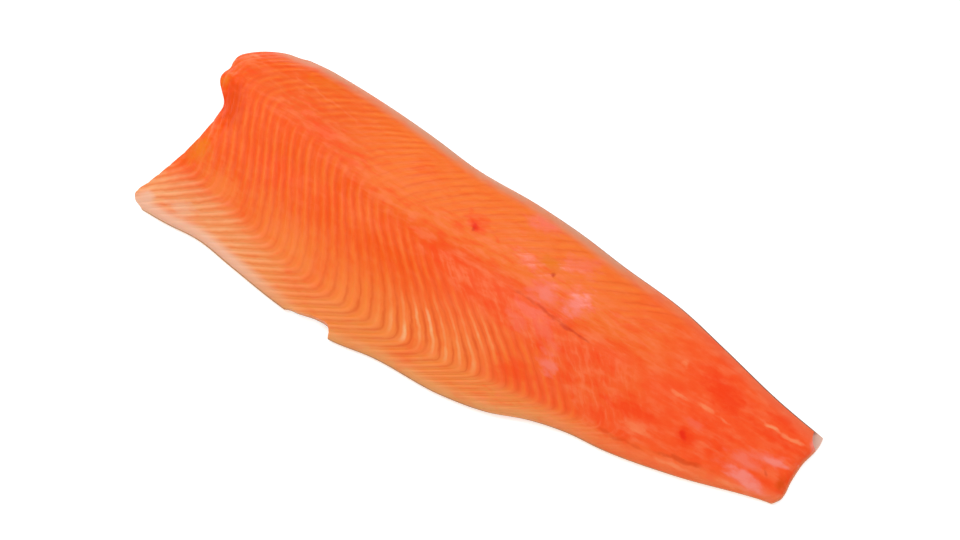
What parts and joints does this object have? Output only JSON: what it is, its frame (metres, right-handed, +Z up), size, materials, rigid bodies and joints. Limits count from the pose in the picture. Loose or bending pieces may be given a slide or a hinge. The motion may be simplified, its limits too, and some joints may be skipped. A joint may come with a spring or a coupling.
{
  "type": "raw salmon fillet",
  "caption": "Whole raw salmon side lying skin down, with a thick back edge, a thin belly edge, cut ends and zigzag muscle bands.",
  "frame": {"origin": "centre of the bounding box's underside, on the surface that the fillet lies on", "axes": "+X along the fish to the tail end, +Y across it to the thick back edge, +Z up out of the flesh side"},
  "size_m": [0.5571, 0.1908, 0.028],
  "materials": {
    "salmon_flesh": "moist raw flesh, satin, with thin pale fat lines between the muscle bands",
    "salmon_skin": "wet silvery scaled skin, darker towards the back; it belongs to the visual model, under the flesh"
  },
  "bodies": {
    "root": {"fillet": "salmon_flesh"}
  },
  "joints": []
}
